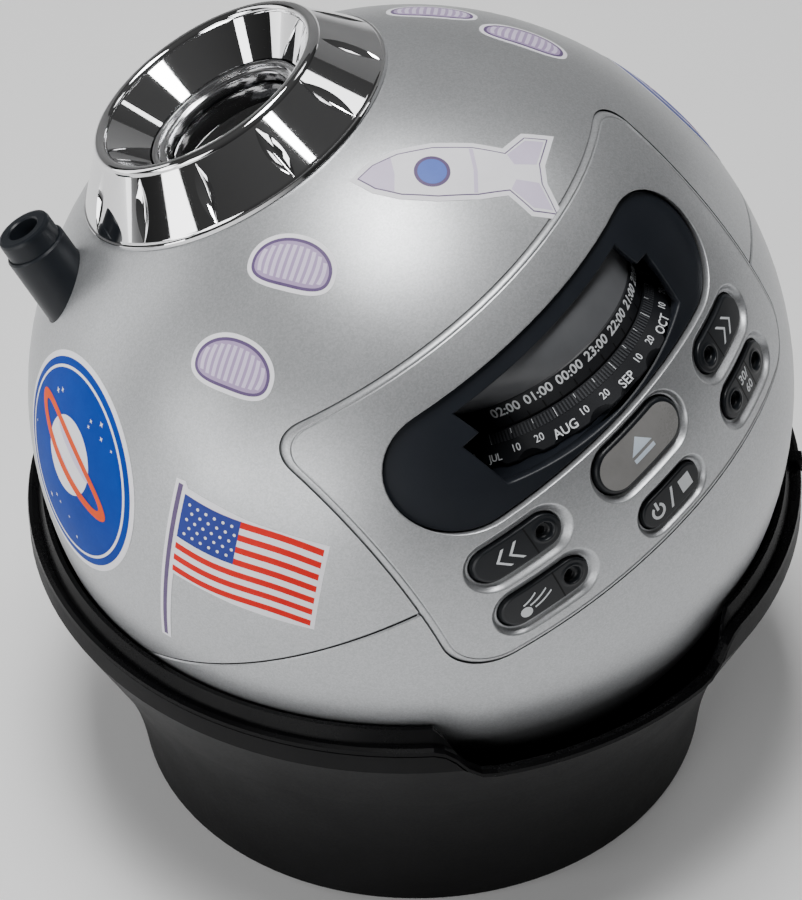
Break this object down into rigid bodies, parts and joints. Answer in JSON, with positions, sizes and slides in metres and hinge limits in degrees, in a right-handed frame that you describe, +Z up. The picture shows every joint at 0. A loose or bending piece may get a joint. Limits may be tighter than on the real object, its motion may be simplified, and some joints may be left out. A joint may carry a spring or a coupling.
{
  "type": "planetarium projector",
  "caption": "Ball-shaped home star projector with a chromed focus ring, a disc drawer behind a window, push buttons and a meteor tube, resting in a round bowl base.",
  "frame": {"origin": "on the table, at the middle of the base's flat bottom", "axes": "+Z up along the base's axis; -Y towards the middle of the dip at the front of the base's rim"},
  "size_m": [0.1646, 0.1646, 0.1786],
  "materials": {
    "silver_shell": "satin",
    "mirror_chrome": "polished",
    "slate_plastic": "satin",
    "dial_plastic": "satin",
    "button_plastic": "satin",
    "warm_button_plastic": "satin",
    "rim_plastic": "satin",
    "base_plastic": "matte",
    "black_plastic": "matte",
    "inner_plastic": "matte",
    "white_gear": "satin",
    "lens_glass": "clear",
    "star_film": "glossy",
    "circuit_green": "satin",
    "sink_aluminium": "satin",
    "steel": "brushed",
    "cell_wrap": "glossy",
    "rubber": "matte",
    "lamp_white": "glossy"
  },
  "bodies": {
    "base": {"base_bowl": "base_plastic", "rim_ring": "rim_plastic", "base_plate": "black_plastic", "seat_pads": "rubber", "rubber_feet": "rubber", "base_screws": "steel"},
    "globe": {"upper_shell": "silver_shell", "lower_shell": "silver_shell", "control_panel": "silver_shell", "meteor_tube": "slate_plastic", "meteor_lens": "lens_glass", "meteor_lamp": "lamp_white", "lens_guide": "black_plastic", "chassis": "inner_plastic", "condenser_lens": "lens_glass", "lamp_board": "circuit_green", "star_lamp": "lamp_white", "heat_sink": "sink_aluminium", "drive_motor": "steel", "button_board": "circuit_green", "tact_switches": "black_plastic", "battery_box": "inner_plastic", "batteries": "cell_wrap", "battery_cover": "silver_shell", "power_socket": "black_plastic", "shell_screws": "steel", "latch_pin": "steel"},
    "ring": {"focus_ring": "mirror_chrome"},
    "barrel": {"lens_barrel": "black_plastic", "front_lens": "lens_glass", "rear_lens": "lens_glass", "lens_retainer": "black_plastic"},
    "drawer": {"drawer_front": "slate_plastic", "disc_tray": "slate_plastic", "hour_scale": "dial_plastic"},
    "dial": {"date_dial": "dial_plastic"},
    "carrier": {"disc_carrier": "white_gear", "star_disc": "star_film"},
    "pinion": {"drive_pinion": "white_gear"},
    "eject": {"eject_button": "warm_button_plastic"},
    "power": {"power_button": "button_plastic"},
    "reverse": {"reverse_button": "button_plastic"},
    "forward": {"forward_button": "button_plastic"},
    "meteor": {"meteor_button": "button_plastic"},
    "timer": {"timer_button": "button_plastic"},
    "latch": {"drawer_latch": "inner_plastic"}
  },
  "joints": [
    {"name": "globe_tilt", "type": "hinge", "parent": "base", "child": "globe", "pos_m": [0, 0, 0.092], "axis": [-0.6756, -0.7373, 0], "range_deg": [-28.9, 36]},
    {"name": "focus_turn", "type": "hinge", "parent": "globe", "child": "ring", "pos_m": [-0.02708, 0.02481, 0.15854], "axis": [-0.3563, 0.3265, 0.8755], "range_deg": [-60, 60]},
    {"name": "barrel_slide", "type": "slide", "parent": "globe", "child": "barrel", "axis": [-0.3563, 0.3265, 0.8755], "range_m": [-0.002, 0.002]},
    {"name": "drawer_slide", "type": "slide", "parent": "globe", "child": "drawer", "axis": [0.175, -0.8971, 0.4058], "range_m": [0, 0.072]},
    {"name": "dial_turn", "type": "hinge", "parent": "drawer", "child": "dial", "pos_m": [0.00887, -0.03537, 0.12479], "axis": [-0.3563, 0.3265, 0.8755], "continuous": true},
    {"name": "carrier_turn", "type": "hinge", "parent": "drawer", "child": "carrier", "pos_m": [-0.00641, 0.00588, 0.10776], "axis": [-0.3563, 0.3265, 0.8755], "continuous": true},
    {"name": "pinion_turn", "type": "hinge", "parent": "globe", "child": "pinion", "pos_m": [-0.01475, 0.03062, 0.09399], "axis": [-0.3563, 0.3265, 0.8755], "continuous": true},
    {"name": "eject_press", "type": "slide", "parent": "globe", "child": "eject", "axis": [-0.175, 0.8971, -0.4058], "range_m": [0, 0.0008], "stiffness_N_per_m": 500, "springref_m": -0.001},
    {"name": "power_press", "type": "slide", "parent": "globe", "child": "power", "axis": [-0.175, 0.8971, -0.4058], "range_m": [0, 0.0008], "stiffness_N_per_m": 500, "springref_m": -0.001},
    {"name": "reverse_press", "type": "slide", "parent": "globe", "child": "reverse", "axis": [-0.175, 0.8971, -0.4058], "range_m": [0, 0.0008], "stiffness_N_per_m": 500, "springref_m": -0.001},
    {"name": "forward_press", "type": "slide", "parent": "globe", "child": "forward", "axis": [-0.175, 0.8971, -0.4058], "range_m": [0, 0.0008], "stiffness_N_per_m": 500, "springref_m": -0.001},
    {"name": "meteor_press", "type": "slide", "parent": "globe", "child": "meteor", "axis": [-0.175, 0.8971, -0.4058], "range_m": [0, 0.0008], "stiffness_N_per_m": 500, "springref_m": -0.001},
    {"name": "timer_press", "type": "slide", "parent": "globe", "child": "timer", "axis": [-0.175, 0.8971, -0.4058], "range_m": [0, 0.0008], "stiffness_N_per_m": 500, "springref_m": -0.001},
    {"name": "latch_rock", "type": "hinge", "parent": "globe", "child": "latch", "pos_m": [0.01053, -0.04649, 0.10791], "axis": [-0.9178, -0.2978, -0.2625], "range_deg": [0, 8.1]}
  ],
  "couplings": [
    {"joint": "barrel_slide", "follows": "focus_turn", "m_per_rad": 0.0019},
    {"joint": "carrier_turn", "follows": "dial_turn", "ratio": -1},
    {"joint": "pinion_turn", "follows": "dial_turn", "ratio": 3.9167},
    {"joint": "latch_rock", "follows": "eject_press", "rad_per_m": 175}
  ]
}
